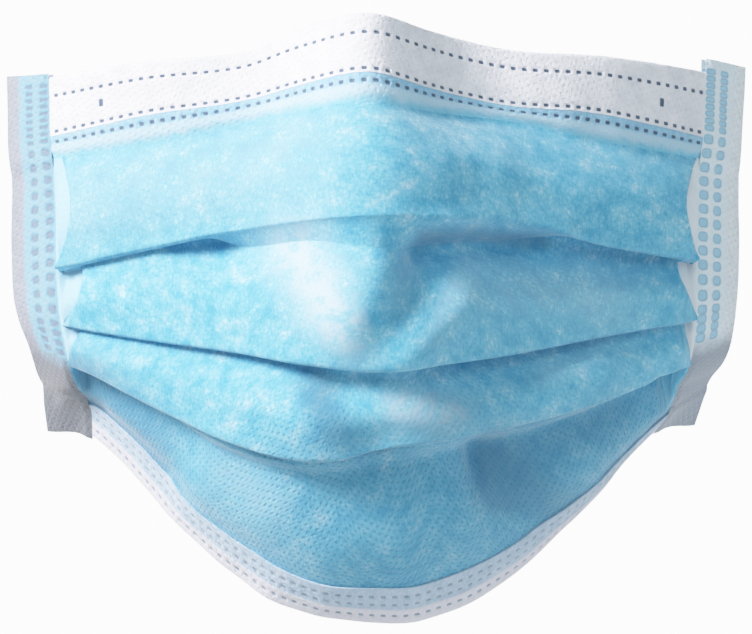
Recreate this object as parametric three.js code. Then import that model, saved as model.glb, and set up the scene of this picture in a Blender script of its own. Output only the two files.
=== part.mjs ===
import * as THREE from 'three';

// A disposable pleated surgical face mask, in the shape that it takes when it is worn.
// Millimetres. +X is to the viewer's right, the front faces -Y and +Z is up.
// The origin is where the mask sits on the bridge of the nose.

// Cloth thickness, and the gap kept between layers and between neighbouring pieces.
const clothThickness = 1.0;
const pieceGap = 0.3;

// The bends of a fold turn at this radius, measured at the middle of the cloth.
const foldRadius = 0.72;

// A hem or tape lies round the body cloth, so the middle of its leaf is this far from the body's middle.
const leafOffset = clothThickness + pieceGap;

// Binding widths, along the cloth from the edge that they wrap.
const tapeWidth = 12.4;
const tapeTopOverhang = { left: 0.7, right: 2.7 };
const tapeBottomOverhang = 0.8;

// Below this angle the hidden length leans away from the cloth in front of it.
const leaningAngle = 140;

// Between the tape and a full height pleat the folds are pressed flat over this width.
const pressedWidth = 7.5;

// The lines of the sheet, from the top edge down. drop is the mean distance down the cloth,
// left and right are where the line ends, heights are at the shared stations across,
// and the depth of the line is worked out from the last five columns.
const stations = [0, 0.06, 0.2, 0.32, 0.41, 0.49, 0.57, 0.68, 0.8, 0.94, 1];
const lines = {
  topEdge: {
    drop: 0, left: -75.6, right: 79.5,
    heights: [-6.3, -6.0, -3.1, -1.5, 3.4, 5.7, 2.5, -1.1, -2.0, -4.6, -6.2],
    centre: 0, nose: 13, noseWidth: 14, side: 40, roundness: 3.0,
  },
  bandEdge: {
    drop: 13, left: -75.1, right: 78.7,
    heights: [-19.8, -18.5, -14.4, -12.0, -8.7, -6.6, -9.6, -12.9, -14.2, -18.4, -20.2],
    centre: -3.5, nose: 14, noseWidth: 15, side: 39, roundness: 2.9,
  },
  stripEdge: {
    drop: 18.5, left: -74.8, right: 78.4,
    heights: [-24.5, -23.2, -20.3, -16.8, -14.1, -12.6, -14.4, -16.1, -19.7, -23.0, -24.2],
    centre: -5.5, nose: 15, noseWidth: 16, side: 38, roundness: 2.7,
  },
  upperFold: {
    drop: 43.5, left: -74.4, right: 78.4,
    heights: [-48.8, -46.9, -42.4, -39.5, -37.5, -36.5, -36.9, -38.2, -41.8, -45.0, -46.2],
    centre: -12, nose: 17, noseWidth: 20, side: 35, roundness: 2.3,
  },
  middleFold: {
    drop: 63.5, left: -73.2, right: 77.6,
    heights: [-56.4, -57.8, -61.2, -63.6, -65.8, -66.9, -65.8, -63.8, -60.3, -56.7, -55.2],
    centre: -12.5, nose: 15, noseWidth: 24, side: 34, roundness: 2.2,
  },
  lowerFold: {
    drop: 75.5, left: -71.1, right: 76.2,
    heights: [-61.9, -65.3, -75.5, -82.5, -85.1, -83.7, -80.6, -78.1, -73.6, -65.7, -62.3],
    centre: -7, nose: 9, noseWidth: 26, side: 35, roundness: 2.2,
  },
  chin: {
    drop: 86.5, left: -69.7, right: 73.8,
    heights: [-67.5, -71.2, -84.3, -93.9, -98.0, -98.1, -96.7, -92.2, -83.6, -71.4, -67.6],
    centre: 0, nose: 5, noseWidth: 28, side: 38, roundness: 2.1,
  },
  hemEdge: {
    drop: 99.5, left: -68.5, right: 71.4,
    heights: [-72.1, -75.0, -92.0, -104.4, -110.6, -111.9, -111.1, -105.4, -94.1, -76.4, -71.7],
    centre: 10, nose: 2, noseWidth: 30, side: 42, roundness: 2.1,
  },
  bottomEdge: {
    drop: 109.5, left: -67.7, right: 69.5,
    heights: [-79.6, -81.0, -98.5, -112.4, -117.7, -119.4, -119.1, -113.1, -99.0, -79.5, -78.1],
    centre: 19, nose: 0, noseWidth: 30, side: 46, roundness: 2.0,
  },
};

// The pleats. angle is how far the cloth turns back at the fold, at the shared stations:
// 180 is folded flat and a small angle is pulled open. tuck is the hidden length between its two bends.
const pleats = {
  upperFold: {
    angle: [180, 180, 172, 112, 66, 26, 44, 52, 100, 180, 180],
    tuck: [6, 6, 6, 6, 6, 6.5, 7.5, 7, 5, 6, 6],
  },
  middleFold: {
    angle: [180, 180, 176, 168, 156, 150, 154, 158, 170, 180, 180],
    tuck: [3, 3.5, 6, 7, 7, 6, 6, 6, 6, 3.5, 3],
  },
  lowerFold: {
    angle: [180, 180, 178, 174, 168, 165, 165, 158, 165, 178, 180],
    tuck: [2, 2, 5, 6, 6, 6, 5, 4.5, 4, 2, 2],
  },
};

// The panels between the lines. puff is how far a panel swells at its middle,
// and rows is how many bands of faces cross its open part.
const panels = [
  { name: 'noseBand', from: 'topEdge', to: 'stripEdge', puff: 0, rows: 3 },
  { name: 'upper', from: 'stripEdge', to: 'upperFold', puff: 1.6, rows: 4 },
  { name: 'second', from: 'upperFold', to: 'middleFold', puff: 0.8, rows: 3 },
  { name: 'third', from: 'middleFold', to: 'lowerFold', puff: 1.0, rows: 3 },
  { name: 'chin', from: 'lowerFold', to: 'hemEdge', puff: 1.8, rows: 5 },
  { name: 'hem', from: 'hemEdge', to: 'bottomEdge', puff: 0, rows: 2 },
];

// Dents (negative) and swells (positive) of the worn cloth, each along a short line
// seen from the front, from one [x, z] to the other, with its reach to either side.
const dents = [
  { name: 'slantingValley', from: [13, -43], to: [3, -60], reach: 4.5, height: -2.6 },
  { name: 'valleyRidge', from: [17, -46], to: [16, -60], reach: 4.0, height: 1.4 },
  { name: 'noseTip', from: [-6, -48], to: [-4, -53], reach: 7.0, height: 1.8 },
  { name: 'lipDent', from: [-12, -56], to: [-8, -62], reach: 5.0, height: -1.0 },
  { name: 'mouthHollow', from: [-5, -72], to: [4, -78], reach: 7.0, height: -2.4 },
  { name: 'mouthSwell', from: [12, -76], to: [24, -73], reach: 6.0, height: 1.2 },
  { name: 'chinHollow', from: [23, -84], to: [27, -92], reach: 5.0, height: -2.6 },
  { name: 'chinSwell', from: [13, -88], to: [17, -96], reach: 6.0, height: 1.2 },
  { name: 'jawSwell', from: [-30, -84], to: [-18, -92], reach: 9.0, height: 1.2 },
];

const lineSamples = 160;
const finiteStep = 0.002;
const slopeStep = 0.1;
const degree = Math.PI / 180;

// Smooth curve through (knots, values), with the slope at a knot taken from its neighbours.
function smoothValue(knots, values, at) {
  const last = knots.length - 1;
  let i = 0;
  while (i < last - 1 && at > knots[i + 1]) {
    i += 1;
  }
  const slopeAt = (k) => {
    const before = Math.max(k - 1, 0);
    const after = Math.min(k + 1, last);
    return (values[after] - values[before]) / (knots[after] - knots[before]);
  };
  const span = knots[i + 1] - knots[i];
  const t = (at - knots[i]) / span;
  if (t < 0) {
    return values[0] + slopeAt(0) * (at - knots[0]);
  }
  if (t > 1) {
    return values[last] + slopeAt(last) * (at - knots[last]);
  }
  const t2 = t * t;
  const t3 = t2 * t;
  return (2 * t3 - 3 * t2 + 1) * values[i]
    + (t3 - 2 * t2 + t) * span * slopeAt(i)
    + (-2 * t3 + 3 * t2) * values[i + 1]
    + (t3 - t2) * span * slopeAt(i + 1);
}

function smoothStep(from, to, at) {
  const t = Math.min(Math.max((at - from) / (to - from), 0), 1);
  return t * t * (3 - 2 * t);
}

// A point of one line, at a fraction of its seen width.
function pointOfLine(line, fraction) {
  const x = line.left + fraction * (line.right - line.left);
  const reach = (line.right - line.left) / 2;
  const nosePart = line.nose * (1 - Math.exp(-((x / line.noseWidth) ** 2)));
  const cheekPart = (line.side - line.centre - line.nose) * Math.abs(x / reach) ** line.roundness;
  return new THREE.Vector3(x, line.centre + nosePart + cheekPart, smoothValue(stations, line.heights, fraction));
}

// Each line is measured along the cloth, so that the same share of its length is the same thread.
function measureLine(line) {
  const points = [];
  const lengths = [0];
  for (let i = 0; i <= lineSamples; i += 1) {
    points.push(pointOfLine(line, i / lineSamples));
    if (i > 0) {
      lengths.push(lengths[i - 1] + points[i].distanceTo(points[i - 1]));
    }
  }
  return { ...line, lengths, total: lengths[lineSamples] };
}

const measured = {};
for (const [name, line] of Object.entries(lines)) {
  measured[name] = measureLine(line);
}
const lineOrder = Object.values(measured);
const drops = lineOrder.map((line) => line.drop);

// The seen fraction at a share of the line's cloth length.
function seenFraction(line, share) {
  const wanted = Math.min(Math.max(share, 0), 1) * line.total;
  let i = 1;
  while (i < lineSamples && line.lengths[i] < wanted) {
    i += 1;
  }
  const part = (wanted - line.lengths[i - 1]) / (line.lengths[i] - line.lengths[i - 1]);
  return (i - 1 + part) / lineSamples;
}

// The smooth sheet without folds: share across from the left edge, drop down from the top edge.
function basePoint(share, drop) {
  const points = lineOrder.map((line) => pointOfLine(line, seenFraction(line, share)));
  return new THREE.Vector3(
    smoothValue(drops, points.map((p) => p.x), drop),
    smoothValue(drops, points.map((p) => p.y), drop),
    smoothValue(drops, points.map((p) => p.z), drop),
  );
}

// The sheet's outward direction at a point, and how many millimetres one unit of drop is there.
function baseFrame(share, drop) {
  const dropStep = finiteStep * drops[drops.length - 1];
  const here = basePoint(share, drop);
  const left = Math.max(share - finiteStep, 0);
  const right = Math.min(share + finiteStep, 1);
  const across = basePoint(right, drop).sub(basePoint(left, drop)).divideScalar(right - left);
  const down = basePoint(share, drop + dropStep).sub(basePoint(share, drop - dropStep)).divideScalar(2 * dropStep);
  const downScale = down.length();
  const outward = new THREE.Vector3().crossVectors(across, down).normalize();
  if (outward.y > 0) {
    outward.negate();
  }
  return { here, outward, downScale };
}

// Distance along the cloth from the nearer side edge.
function distanceFromSide(share) {
  return Math.min(share, 1 - share) * measured.stripEdge.total;
}

// How far the pleats have risen out of the part pressed flat at the tape, from 0 to 1.
function pleatRise(share) {
  const inner = tapeWidth + pieceGap;
  return smoothStep(inner, inner + pressedWidth, distanceFromSide(share));
}

function turnRise(share) {
  const inner = tapeWidth + pieceGap;
  return smoothStep(inner, inner + pressedWidth / 2, distanceFromSide(share));
}

// Broad relief on top of the base sheet, the same for every layer that lies there.
function relief(share, drop, point) {
  let height = 0;
  for (const panel of panels) {
    const t = (drop - lines[panel.from].drop) / (lines[panel.to].drop - lines[panel.from].drop);
    if (t > 0 && t < 1) {
      height += panel.puff * Math.sin(Math.PI * t) ** 2 * turnRise(share);
    }
  }
  for (const dent of dents) {
    const from = new THREE.Vector2(...dent.from);
    const along = new THREE.Vector2(...dent.to).sub(from);
    const here = new THREE.Vector2(point.x, point.z).sub(from);
    const t = Math.min(Math.max(here.dot(along) / along.lengthSq(), 0), 1);
    const away = here.sub(along.multiplyScalar(t)).length() / dent.reach;
    height += dent.height * Math.exp(-away * away);
  }
  return height;
}

// A point of the folded cloth: rise is its distance in front of the base sheet.
function placePoint(share, drop, rise) {
  const frame = baseFrame(share, drop);
  return frame.here.addScaledVector(frame.outward, rise + relief(share, drop, frame.here));
}

// A fold's sizes where the given thread crosses it.
function foldSizes(name, share) {
  const fraction = seenFraction(measured[name], share);
  const angle = Math.min(smoothValue(stations, pleats[name].angle, fraction), 180) * turnRise(share) * degree;
  const tuck = smoothValue(stations, pleats[name].tuck, fraction) * pleatRise(share);
  const depth = 2 * foldRadius * (1 - Math.cos(angle)) + tuck * Math.sin(angle);
  const drop = lines[name].drop;
  const flatness = smoothStep(leaningAngle * degree, Math.PI, angle);
  const reach = tuck * (1 - (1 - flatness) / 2) + 3 * foldRadius;
  return { angle, tuck, depth, reach, drop, scale: baseFrame(share, drop).downScale };
}

// The two bends of a fold and the hidden length between them, as steps of the cloth's path.
function foldPath(fold) {
  const bendSteps = 3;
  const path = [];
  const { angle, tuck, depth, drop, scale } = fold;
  const lipReach = foldRadius * Math.sin(Math.min(angle, Math.PI / 2));
  const add = (down, rise, lean) => path.push({ drop: drop + (down - lipReach) / scale, rise, lean });
  for (let i = 0; i <= bendSteps; i += 1) {
    const turn = (angle * i) / bendSteps;
    add(foldRadius * Math.sin(turn), depth / 2 - foldRadius * (1 - Math.cos(turn)), turn);
  }
  const lipDown = foldRadius * Math.sin(angle);
  const lipRise = depth / 2 - foldRadius * (1 - Math.cos(angle));
  add(lipDown + (tuck / 2) * Math.cos(angle), lipRise - (tuck / 2) * Math.sin(angle), angle);
  const tuckDown = lipDown + tuck * Math.cos(angle);
  const tuckRise = lipRise - tuck * Math.sin(angle);
  for (let i = 0; i <= bendSteps; i += 1) {
    const turn = angle * (1 - i / bendSteps);
    add(
      tuckDown + foldRadius * (Math.sin(angle) - Math.sin(turn)),
      tuckRise - foldRadius * (Math.cos(turn) - Math.cos(angle)),
      turn,
    );
  }
  return path;
}

// The drops at which a panel gets a row of points: it lies behind the fold above down to coveredTo,
// and in front of the fold below from tuckedFrom on, and crosses over between the two.
function panelDrops(panel, above, below, start, end) {
  const middle = (start + end) / 2;
  const justBelow = above ? Math.min(above.drop + clothThickness / above.scale, middle) : start;
  const coveredTo = above ? Math.max(start + clothThickness / above.scale, justBelow) : start;
  const tuckedFrom = below ? Math.max(below.drop - below.reach / below.scale, middle) : end;
  const drops = [];
  if (above) {
    drops.push((start + coveredTo) / 2);
  }
  for (let i = 0; i <= panel.rows; i += 1) {
    drops.push(coveredTo + ((tuckedFrom - coveredTo) * i) / panel.rows);
  }
  if (below) {
    drops.push((tuckedFrom + end) / 2);
  }
  return { drops, coveredTo, tuckedFrom };
}

// The cloth's whole path down one thread of the body.
function bodyPath(share) {
  const topDrop = leafOffset / baseFrame(share, 0).downScale;
  const bottomLine = lines.bottomEdge.drop;
  const bottomDrop = bottomLine - leafOffset / baseFrame(share, bottomLine).downScale;
  const folds = {};
  for (const name of Object.keys(pleats)) {
    folds[name] = foldSizes(name, share);
  }
  const path = [];
  for (const panel of panels) {
    const above = folds[panel.from];
    const below = folds[panel.to];
    const start = above ? foldPath(above).at(-1) : { drop: lines[panel.from].drop, rise: 0 };
    const end = below ? foldPath(below)[0] : { drop: lines[panel.to].drop, rise: 0 };
    const { drops, coveredTo, tuckedFrom } = panelDrops(panel, above, below, start.drop, end.drop);
    const climb = (drop) => smoothStep(coveredTo, tuckedFrom, drop);
    for (const drop of drops) {
      if (path.length > 0 && drop <= path.at(-1).drop && !above) {
        continue;
      }
      const slope = ((end.rise - start.rise) * (climb(drop + slopeStep) - climb(drop - slopeStep))) / (2 * slopeStep);
      const lean = -Math.atan(slope / baseFrame(share, drop).downScale);
      path.push({ drop, rise: start.rise + (end.rise - start.rise) * climb(drop), lean });
    }
    if (below) {
      path.push(...foldPath(below));
    }
  }
  path[0].drop = topDrop;
  path.at(-1).drop = bottomDrop;
  return path;
}

// The path of a hem that lies in front, turns round an edge and lies behind.
function hemPath(share, innerDrops, edgeDrop) {
  const bendSteps = 3;
  const scale = baseFrame(share, edgeDrop).downScale;
  const downward = edgeDrop > innerDrops[0] ? 1 : -1;
  const centre = edgeDrop - (downward * (leafOffset + clothThickness / 2)) / scale;
  const path = innerDrops.map((drop) => ({ drop, rise: leafOffset, lean: 0 }));
  for (let i = 0; i <= bendSteps; i += 1) {
    const turn = (Math.PI * i) / bendSteps;
    path.push({
      drop: centre + (downward * leafOffset * Math.sin(turn)) / scale,
      rise: leafOffset * Math.cos(turn),
      lean: turn,
    });
  }
  for (const drop of [...innerDrops].reverse()) {
    path.push({ drop, rise: -leafOffset, lean: Math.PI });
  }
  return { path, downward };
}

// The two faces of cloth laid along a path, half its thickness to either side.
function facesOfPath(share, path, downward) {
  const faces = { outer: [], inner: [] };
  for (const step of path) {
    const scale = baseFrame(share, step.drop).downScale;
    const dropPart = (downward * Math.sin(step.lean) * clothThickness) / 2 / scale;
    const risePart = (Math.cos(step.lean) * clothThickness) / 2;
    faces.outer.push(placePoint(share, step.drop + dropPart, step.rise + risePart));
    faces.inner.push(placePoint(share, step.drop - dropPart, step.rise - risePart));
  }
  return faces;
}

// A closed solid between two grids of points, columns of the outer face and of the inner face.
function solidBetween(outer, inner) {
  const columns = outer.length;
  const rows = outer[0].length;
  const positions = [];
  for (const grid of [outer, inner]) {
    for (const column of grid) {
      for (const point of column) {
        positions.push(point.x, point.y, point.z);
      }
    }
  }
  const outerAt = (c, r) => c * rows + r;
  const innerAt = (c, r) => (columns + c) * rows + r;
  const indices = [];
  const quad = (a, b, c, d) => indices.push(a, b, c, a, c, d);
  for (let c = 0; c < columns - 1; c += 1) {
    for (let r = 0; r < rows - 1; r += 1) {
      quad(outerAt(c, r), outerAt(c, r + 1), outerAt(c + 1, r + 1), outerAt(c + 1, r));
      quad(innerAt(c, r), innerAt(c + 1, r), innerAt(c + 1, r + 1), innerAt(c, r + 1));
    }
    quad(outerAt(c, 0), outerAt(c + 1, 0), innerAt(c + 1, 0), innerAt(c, 0));
    quad(outerAt(c, rows - 1), innerAt(c, rows - 1), innerAt(c + 1, rows - 1), outerAt(c + 1, rows - 1));
  }
  for (let r = 0; r < rows - 1; r += 1) {
    quad(outerAt(0, r), innerAt(0, r), innerAt(0, r + 1), outerAt(0, r + 1));
    quad(outerAt(columns - 1, r), outerAt(columns - 1, r + 1), innerAt(columns - 1, r + 1), innerAt(columns - 1, r));
  }
  const geometry = new THREE.BufferGeometry();
  geometry.setAttribute('position', new THREE.Float32BufferAttribute(positions, 3));
  geometry.setIndex(indices);
  return facingOut(geometry);
}

// Turns the faces round if the solid came out with them pointing in.
function facingOut(geometry) {
  const points = geometry.getAttribute('position');
  const index = geometry.getIndex();
  const corner = [new THREE.Vector3(), new THREE.Vector3(), new THREE.Vector3()];
  let volume = 0;
  for (let i = 0; i < index.count; i += 3) {
    corner.forEach((v, k) => v.fromBufferAttribute(points, index.getX(i + k)));
    volume += corner[0].dot(corner[1].clone().cross(corner[2]));
  }
  if (volume < 0) {
    for (let i = 0; i < index.count; i += 3) {
      const second = index.getX(i + 1);
      index.setX(i + 1, index.getX(i + 2));
      index.setX(i + 2, second);
    }
  }
  geometry.computeVertexNormals();
  return geometry;
}

// Threads across the mask, closer together where the pleats rise beside the tapes.
// They start where the tape ends, or at the given distances under the tape.
function threadShares(underTape = []) {
  const width = measured.stripEdge.total;
  const risingSteps = [0, 1.4, 2.8, 4.6, 7.5];
  const middleSteps = 22;
  const rising = risingSteps.map((step) => tapeWidth + pieceGap + step);
  const shares = [...underTape, ...rising].map((distance) => distance / width);
  const start = shares.at(-1);
  for (let i = 1; i < middleSteps; i += 1) {
    shares.push(start + ((1 - 2 * start) * i) / middleSteps);
  }
  const mirrored = shares.filter((share) => share < start + 1e-9).map((share) => 1 - share).reverse();
  return [...shares, ...mirrored];
}

function clothAcross(shares, pathAt) {
  const outer = [];
  const inner = [];
  for (const share of shares) {
    const { path, downward } = pathAt(share);
    const faces = facesOfPath(share, path, downward);
    outer.push(faces.outer);
    inner.push(faces.inner);
  }
  return solidBetween(outer, inner);
}

// The body's side edge lies in the tape's bend. Hems and the strip end where the tape begins.
const bodyShares = threadShares([leafOffset + clothThickness / 2, tapeWidth * 0.6]);
const hemShares = threadShares();

function makeBody() {
  return clothAcross(bodyShares, (share) => ({ path: bodyPath(share), downward: 1 }));
}

function makeNoseBand() {
  const edge = lines.topEdge.drop;
  const low = lines.bandEdge.drop;
  return clothAcross(hemShares, (share) => hemPath(share, [low, (low * 2) / 3, low / 3], edge));
}

function makeBottomHem() {
  const edge = lines.bottomEdge.drop;
  const high = lines.hemEdge.drop;
  return clothAcross(hemShares, (share) => hemPath(share, [high, (high + edge) / 2], edge));
}

function makeNoseStrip() {
  return clothAcross(hemShares, (share) => {
    const scale = baseFrame(share, lines.bandEdge.drop).downScale;
    const top = lines.bandEdge.drop + pieceGap / scale;
    const low = lines.stripEdge.drop;
    const path = [top, (top + low) / 2, low].map((drop) => ({ drop, rise: leafOffset, lean: 0 }));
    return { path, downward: 1 };
  });
}

// A tape runs down one side. Its section lies in front, turns round the side edge and lies behind.
function makeSideTape(side) {
  const bendSteps = 3;
  const topLine = lines.topEdge.drop;
  const bottomLine = lines.bottomEdge.drop;
  const edgeShare = side < 0 ? 0 : 1;
  const topOverhang = side < 0 ? tapeTopOverhang.left : tapeTopOverhang.right;
  const topDrop = topLine - topOverhang / baseFrame(edgeShare, topLine).downScale;
  const bottomDrop = bottomLine + tapeBottomOverhang / baseFrame(edgeShare, bottomLine).downScale;
  const stepsDown = 16;
  const centre = leafOffset + clothThickness / 2;
  const section = [tapeWidth, tapeWidth / 2].map((distance) => ({ distance, rise: leafOffset, lean: 0 }));
  for (let i = 0; i <= bendSteps; i += 1) {
    const turn = (Math.PI * i) / bendSteps;
    section.push({
      distance: centre - leafOffset * Math.sin(turn),
      rise: leafOffset * Math.cos(turn),
      lean: turn,
    });
  }
  for (const distance of [tapeWidth / 2, tapeWidth]) {
    section.push({ distance, rise: -leafOffset, lean: Math.PI });
  }
  const width = measured.stripEdge.total;
  const faceAt = (drop, half) => section.map((step) => {
    const distance = step.distance - Math.sin(step.lean) * half;
    const share = side < 0 ? distance / width : 1 - distance / width;
    return placePoint(share, drop, step.rise + Math.cos(step.lean) * half);
  });
  const outer = [];
  const inner = [];
  for (let i = 0; i <= stepsDown; i += 1) {
    const drop = topDrop + ((bottomDrop - topDrop) * i) / stepsDown;
    outer.push(faceAt(drop, clothThickness / 2));
    inner.push(faceAt(drop, -clothThickness / 2));
  }
  return solidBetween(outer, inner);
}

function clothMaterial(color, roughness) {
  return new THREE.MeshStandardMaterial({ color, roughness, metalness: 0 });
}

const blueCloth = clothMaterial('#8fcbe6', 0.85);
const whiteCloth = clothMaterial('#e6e8f0', 0.85);
const paleCloth = clothMaterial('#c3dcec', 0.8);
const tapeCloth = clothMaterial('#d3cccf', 0.85);

const mask = new THREE.Group();
function addPiece(name, geometry, material) {
  const mesh = new THREE.Mesh(geometry, material);
  mesh.name = name;
  mask.add(mesh);
}

addPiece('mask_body', makeBody(), blueCloth);
addPiece('nose_band', makeNoseBand(), whiteCloth);
addPiece('nose_strip', makeNoseStrip(), paleCloth);
addPiece('bottom_hem', makeBottomHem(), whiteCloth);
addPiece('side_tape_left', makeSideTape(-1), tapeCloth);
addPiece('side_tape_right', makeSideTape(1), tapeCloth);

export default mask;
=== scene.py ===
import math
import bpy
import numpy as np
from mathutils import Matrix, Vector


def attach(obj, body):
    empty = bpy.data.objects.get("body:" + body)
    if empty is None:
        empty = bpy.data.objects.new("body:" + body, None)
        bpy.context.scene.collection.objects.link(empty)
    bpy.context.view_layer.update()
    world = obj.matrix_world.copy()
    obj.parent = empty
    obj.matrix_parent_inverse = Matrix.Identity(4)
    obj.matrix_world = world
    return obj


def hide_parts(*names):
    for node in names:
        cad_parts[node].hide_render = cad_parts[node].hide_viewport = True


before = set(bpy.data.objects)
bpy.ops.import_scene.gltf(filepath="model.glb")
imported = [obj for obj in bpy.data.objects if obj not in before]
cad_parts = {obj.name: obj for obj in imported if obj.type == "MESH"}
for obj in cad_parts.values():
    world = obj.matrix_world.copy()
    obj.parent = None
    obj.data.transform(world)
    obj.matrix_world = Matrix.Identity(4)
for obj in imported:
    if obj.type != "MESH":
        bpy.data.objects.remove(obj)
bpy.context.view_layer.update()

# A pleated three layer face mask of spunbond cloth, in the shape it has when it is worn.
# Sizes are in millimetres here and are turned to metres when a mesh is made.
# X is to the right, the front faces -Y, Z is up, and the origin is on the bridge of the nose.
mm = 0.001


# Camera and light

picture = {
    "eye": (1.84, -1100, -56.3),    # straight in front of the mask
    "lens": 258,
    "sensor": 36,
}


def addCamera(settings):
    data = bpy.data.cameras.new("pictureCamera")
    data.lens = settings["lens"]
    data.sensor_width = settings["sensor"]
    camera = bpy.data.objects.new("pictureCamera", data)
    camera.location = Vector(settings["eye"]) * mm
    camera.rotation_euler = (math.radians(90), 0, 0)
    bpy.context.collection.objects.link(camera)
    bpy.context.scene.camera = camera


def linear(hexColour):
    # sRGB hex to the linear values that the nodes take
    parts = [int(hexColour[i:i + 2], 16) / 255 for i in (1, 3, 5)]
    return [p / 12.92 if p <= 0.04045 else ((p + 0.055) / 1.055) ** 2.4 for p in parts] + [1]


def addNode(tree, kind, inputs=None, result=None, **settings):
    # one node with its settings, and a value or a link for each named input
    # it gives back the node, or the output that is named as its result
    made = tree.nodes.new(kind)
    for key, value in settings.items():
        setattr(made, key, value)
    for socket, value in (inputs or {}).items():
        if isinstance(value, bpy.types.NodeSocket):
            tree.links.new(value, made.inputs[socket])
        else:
            made.inputs[socket].default_value = value
    return made.outputs[result] if result else made


def newMaterial(name):
    material = bpy.data.materials.new(name)
    material.use_nodes = True
    tree = material.node_tree
    tree.nodes.clear()
    return material, tree


# sizes and places in mm, power in watts, spread in degrees
lamps = [
    # a honeycomb keeps the key's beam narrow, so the chin falls into shade
    {"name": "keyLamp", "place": (-1060, -480, 700), "aim": (-50, 10, -10), "size": 620,
     "power": 3.4, "colour": "#fbf6fb", "spread": 36},
    {"name": "fillLamp", "place": (-50, -980, 600), "aim": (0, 15, -60), "size": 800,
     "power": 4.35, "colour": "#f4fbfb", "spread": 180},
    # a weak cool lamp that lifts the right cheek and its tape
    {"name": "sideLamp", "place": (1050, -150, 150), "aim": (0, 15, -60), "size": 500,
     "power": 2.4, "colour": "#e2f2ff", "spread": 180},
]


def addLamp(settings):
    data = bpy.data.lights.new(settings["name"], "AREA")
    data.shape = "DISK"
    data.size = settings["size"] * mm
    data.energy = settings["power"]
    data.color = linear(settings["colour"])[:3]
    data.spread = math.radians(settings["spread"])
    lamp = bpy.data.objects.new(settings["name"], data)
    lamp.location = Vector(settings["place"]) * mm
    away = Vector(settings["place"]) - Vector(settings["aim"])
    lamp.rotation_euler = away.to_track_quat("Z", "Y").to_euler()
    bpy.context.collection.objects.link(lamp)


# the picture's tones: faithful in the shade, rolling off softly to white in the light
film = {
    "whiteLevel": 3.0,
    "curve": [
        (0, 0), (0.05, 0.15), (0.1, 0.3), (0.2, 0.53), (0.333, 0.73), (0.5, 0.865), (0.7, 0.95), (1, 1),
    ],
}


def showTones(settings):
    colours = bpy.context.scene.view_settings
    colours.view_transform = "Standard"
    colours.use_curve_mapping = True
    mapping = colours.curve_mapping
    mapping.white_level = [settings["whiteLevel"]] * 3
    curve = mapping.curves[3]
    curve.points[0].location = settings["curve"][0]
    curve.points[1].location = settings["curve"][-1]
    for place in settings["curve"][1:-1]:
        curve.points.new(*place)
    mapping.update()


room = {
    "skyColour": "#e9f2f5",
    "skyStrength": 0.3,
    "backdropStrength": 3.0,    # the white board behind the mask, as the camera sees it
    "floorHeight": -330,
    "floorRadius": 1300,
    "floorCorners": 96,
    "floorColour": "#f4f4f2",
    "floorRoughness": 0.9,
    "floorGlow": 0.16,          # it is a pale board lit from below as well
}


def addSky(settings):
    world = bpy.data.worlds.new("studioSky")
    world.use_nodes = True
    tree = world.node_tree
    tree.nodes.clear()
    sky = addNode(tree, "ShaderNodeBackground", {
        "Color": linear(settings["skyColour"]), "Strength": settings["skyStrength"]}, "Background")
    backdrop = addNode(tree, "ShaderNodeBackground", {"Strength": settings["backdropStrength"]}, "Background")
    seen = addNode(tree, "ShaderNodeLightPath", result="Is Camera Ray")
    mixed = addNode(tree, "ShaderNodeMixShader", {0: seen, 1: sky, 2: backdrop}, "Shader")
    addNode(tree, "ShaderNodeOutputWorld", {"Surface": mixed})
    bpy.context.scene.world = world


def addFloor(settings):
    radius = settings["floorRadius"] * mm
    height = settings["floorHeight"] * mm
    corners = settings["floorCorners"]
    turns = [2 * math.pi * i / corners for i in range(corners)]
    mesh = bpy.data.meshes.new("studioFloor")
    mesh.from_pydata(
        [(radius * math.cos(turn), radius * math.sin(turn), height) for turn in turns],
        [], [tuple(range(corners))])
    material, tree = newMaterial("paintedBoard")
    board = addNode(tree, "ShaderNodeBsdfPrincipled", {
        "Base Color": linear(settings["floorColour"]), "Roughness": settings["floorRoughness"],
        "Emission Color": linear(settings["floorColour"]), "Emission Strength": settings["floorGlow"],
    }, "BSDF")
    addNode(tree, "ShaderNodeOutputMaterial", {"Surface": board})
    mesh.materials.append(material)
    floor = bpy.data.objects.new("studioFloor", mesh)
    bpy.context.collection.objects.link(floor)


addCamera(picture)
for lamp in lamps:
    addLamp(lamp)
addSky(room)
showTones(film)
addFloor(room)
print("camera and studio set")


# The sheet that all the pieces lie on

# share runs across the cloth from the left tape's outer edge, drop runs down it from the top edge
stations = np.array([0, 0.06, 0.2, 0.32, 0.41, 0.49, 0.57, 0.68, 0.8, 0.94, 1])

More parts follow.
